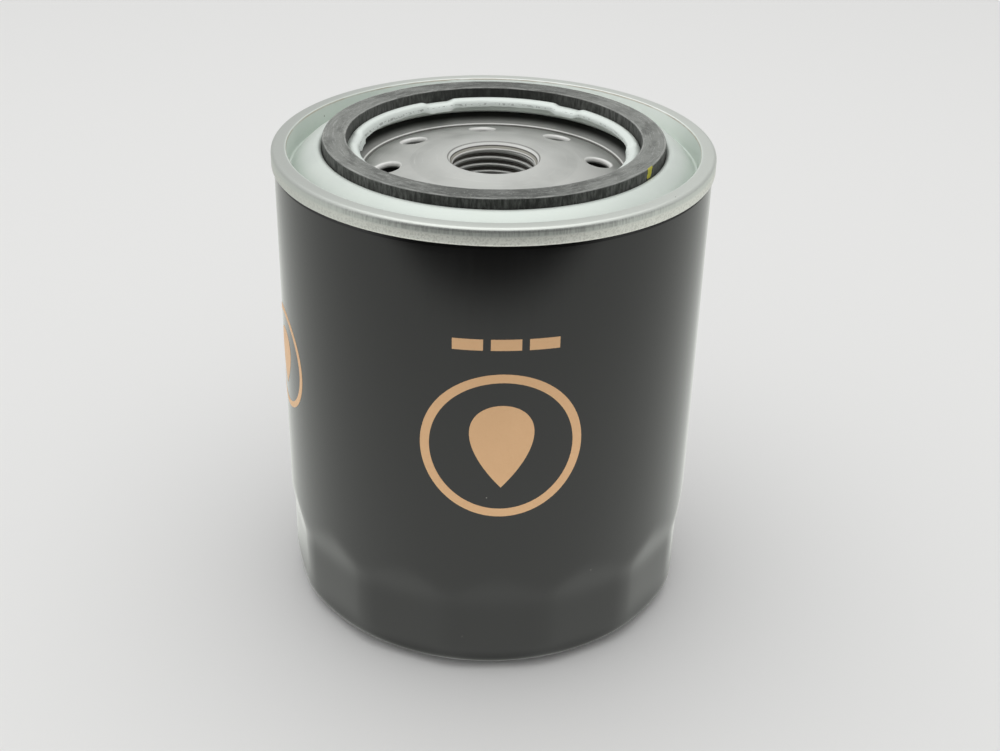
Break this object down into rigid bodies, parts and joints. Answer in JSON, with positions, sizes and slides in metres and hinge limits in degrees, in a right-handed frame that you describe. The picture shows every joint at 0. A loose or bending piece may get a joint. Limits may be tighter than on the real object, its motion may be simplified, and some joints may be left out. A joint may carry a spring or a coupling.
{
  "type": "spin-on oil filter",
  "caption": "Spin-on engine oil filter: fluted painted can, seamed lid with a threaded, holed plate and a face gasket, over a sprung pleated element with bypass and anti-drain valves.",
  "frame": {"origin": "middle of the base, on the surface that the filter stands on", "axes": "+Z along the filter's axis to its threaded, gasketed end; -Y to the front of the picture"},
  "size_m": [0.093, 0.093, 0.1065],
  "materials": {
    "can_paint": "satin black enamel",
    "lid_zinc": "satin zinc plate",
    "compound": "matt seam compound",
    "plate_steel": "satin pressed steel",
    "gasket_rubber": "matt with a grey bloom",
    "valve_rubber": "matt",
    "cap_steel": "tinned sheet",
    "adhesive": "cured plastisol",
    "paper": "resin-treated filter paper",
    "spring_steel": "drawn wire"
  },
  "bodies": {
    "housing": {"can": "can_paint", "seaming_lid": "lid_zinc", "seam_compound": "compound", "tapping_plate": "plate_steel", "sealing_gasket": "gasket_rubber", "element_spring": "spring_steel"},
    "element": {"upper_end_cap": "cap_steel", "upper_adhesive": "adhesive", "pleated_media": "paper", "media_seam_clip": "cap_steel", "centre_tube": "cap_steel", "lower_adhesive": "adhesive", "lower_end_cap": "cap_steel", "bypass_cage": "cap_steel", "bypass_spring": "spring_steel", "spring_seat": "cap_steel"},
    "bypass_valve": {"bypass_disc": "cap_steel", "bypass_seal": "valve_rubber"},
    "anti_drain_flap": {"anti_drain_valve": "valve_rubber"}
  },
  "joints": [
    {"name": "element_float", "type": "slide", "parent": "housing", "child": "element", "axis": [0, 0, -1], "range_m": [0, 0.002], "stiffness_N_per_m": 8000, "springref_m": -0.006, "deforming": ["element_spring"]},
    {"name": "bypass_lift", "type": "slide", "parent": "element", "child": "bypass_valve", "axis": [0, 0, 1], "range_m": [0, 0.004], "stiffness_N_per_m": 2500, "springref_m": -0.009, "deforming": ["bypass_spring"]},
    {"name": "anti_drain_flex", "type": "slide", "parent": "housing", "child": "anti_drain_flap", "axis": [0, 0, -1], "range_m": [0, 0.0012], "stiffness_N_per_m": 400, "springref_m": -0.002, "deforming": ["anti_drain_valve"]}
  ]
}
